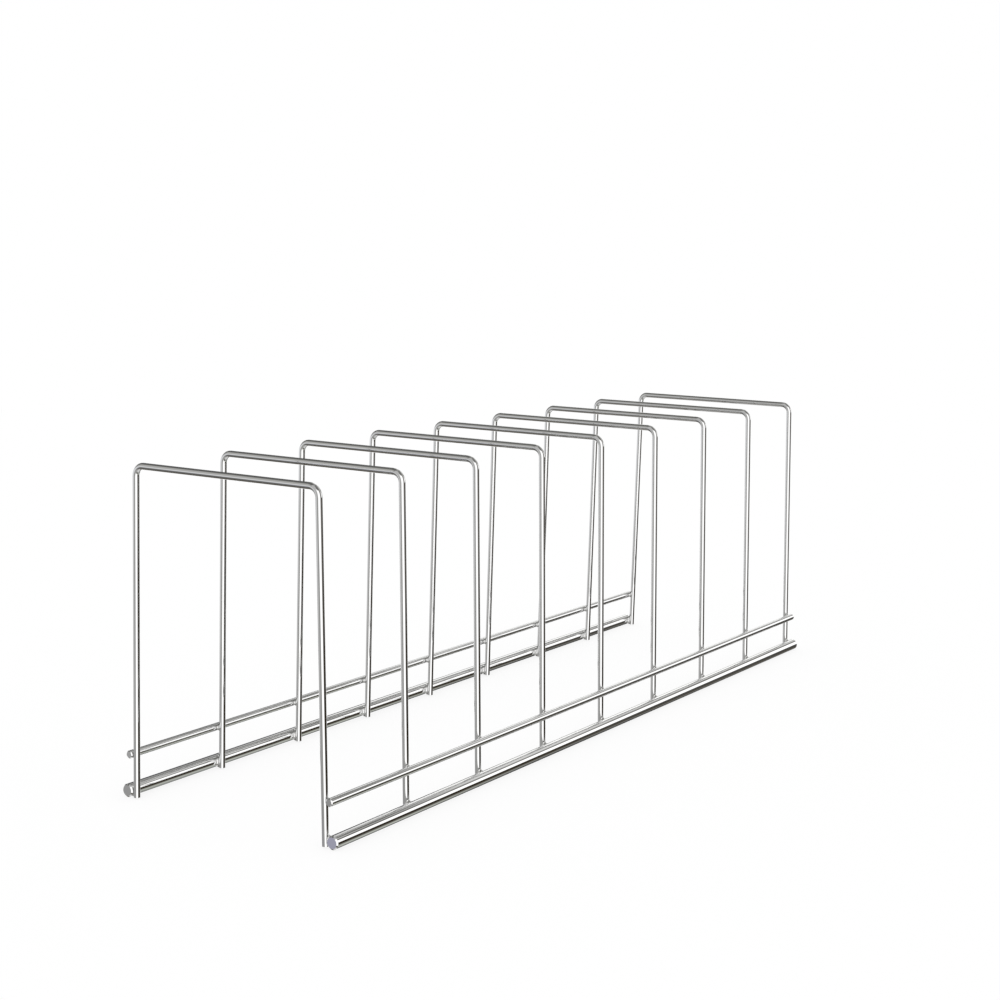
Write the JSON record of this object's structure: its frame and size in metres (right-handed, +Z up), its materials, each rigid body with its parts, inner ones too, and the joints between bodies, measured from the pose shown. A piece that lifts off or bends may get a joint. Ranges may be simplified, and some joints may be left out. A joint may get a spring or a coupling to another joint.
{
  "type": "plate rack",
  "caption": "Free-standing wire plate rack: a row of upright bent-wire hoops, splayed at the foot and welded to two round rails on each side.",
  "frame": {"origin": "on the table, under the middle of the rack", "axes": "+Z up, +Y along the rails and the row of hoops, +X across the rack from left to right"},
  "size_m": [0.1224, 0.4406, 0.15],
  "materials": {
    "hoop_wire": "polished",
    "rail_rod": "polished",
    "weld": "polished"
  },
  "bodies": {
    "root": {"hoop_1": "hoop_wire", "hoop_2": "hoop_wire", "hoop_3": "hoop_wire", "hoop_4": "hoop_wire", "hoop_5": "hoop_wire", "hoop_6": "hoop_wire", "hoop_7": "hoop_wire", "hoop_8": "hoop_wire", "hoop_9": "hoop_wire", "lower_rail_left": "rail_rod", "lower_rail_right": "rail_rod", "upper_rail_left": "rail_rod", "upper_rail_right": "rail_rod", "welds_hoop_1": "weld", "welds_hoop_2": "weld", "welds_hoop_3": "weld", "welds_hoop_4": "weld", "welds_hoop_5": "weld", "welds_hoop_6": "weld", "welds_hoop_7": "weld", "welds_hoop_8": "weld", "welds_hoop_9": "weld"}
  },
  "joints": []
}
